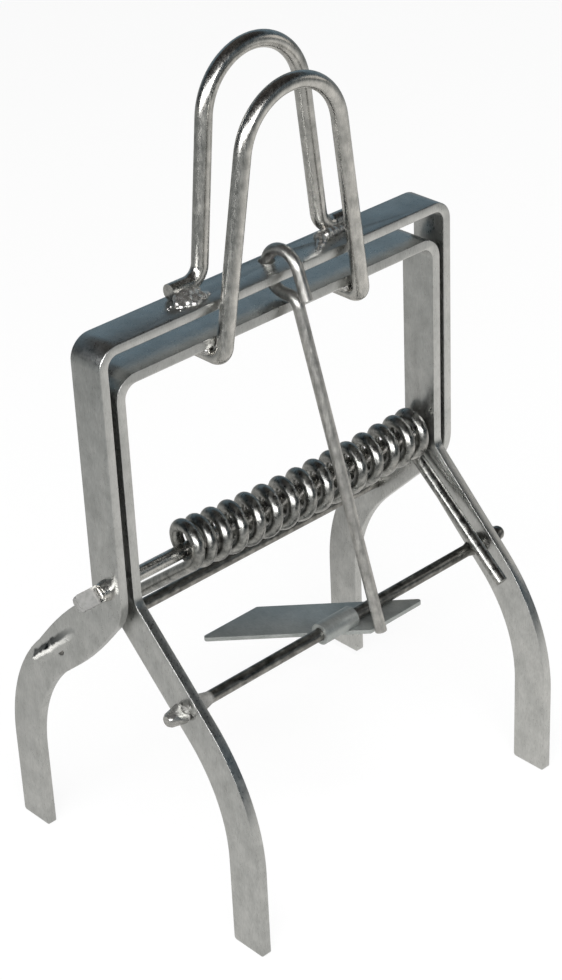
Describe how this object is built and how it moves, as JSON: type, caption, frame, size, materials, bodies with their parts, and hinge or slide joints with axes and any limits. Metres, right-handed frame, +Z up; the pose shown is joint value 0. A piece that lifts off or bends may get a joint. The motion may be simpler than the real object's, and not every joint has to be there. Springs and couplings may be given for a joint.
{
  "type": "mole trap",
  "caption": "Claw trap for tunnels: nested strip frames with curved claws cross on a sprung axle, wire handles on top, held open by a hanging wire and a tilting plate",
  "frame": {"origin": "on the ground under the middle of the trap, between the four claw tips", "axes": "+X along the axle to the trigger's free side, +Y to the rear claws, +Z up to the handles; shown set, standing on its claw tips"},
  "size_m": [0.1242, 0.0882, 0.208],
  "materials": {
    "galvanised_strip": "satin",
    "galvanised_wire": "polished",
    "galvanised_sheet": "satin",
    "spring_steel": "polished",
    "weld_metal": "rough"
  },
  "bodies": {
    "outer_jaw": {"outer_frame": "galvanised_strip", "rear_handle": "galvanised_wire", "rear_weld_left": "weld_metal", "rear_weld_right": "weld_metal", "axle": "galvanised_wire", "rear_rod": "galvanised_wire", "torsion_spring": "spring_steel"},
    "inner_jaw": {"inner_frame": "galvanised_strip", "front_handle": "galvanised_wire", "front_weld_left": "weld_metal", "front_weld_right": "weld_metal", "front_rod": "galvanised_wire"},
    "plate": {"trigger_plate": "galvanised_sheet"},
    "wire": {"trigger_wire": "galvanised_wire"}
  },
  "joints": [
    {"name": "jaw_hinge", "type": "hinge", "parent": "outer_jaw", "child": "inner_jaw", "pos_m": [0.00275, 0, 0.088], "axis": [1, 0, 0], "range_deg": [0, 27], "deforming": ["torsion_spring"]},
    {"name": "plate_hinge", "type": "hinge", "parent": "inner_jaw", "child": "plate", "pos_m": [0.00275, -0.021, 0.06166], "axis": [1, 0, 0], "range_deg": [0, 25]},
    {"name": "wire_hinge", "type": "hinge", "parent": "outer_jaw", "child": "wire", "pos_m": [0.00375, -0.0035, 0.151], "axis": [-1, 0, 0], "range_deg": [0, 96]}
  ],
  "couplings": [
    {"joint": "wire_hinge", "follows": "jaw_hinge", "ratio": 3.55}
  ]
}
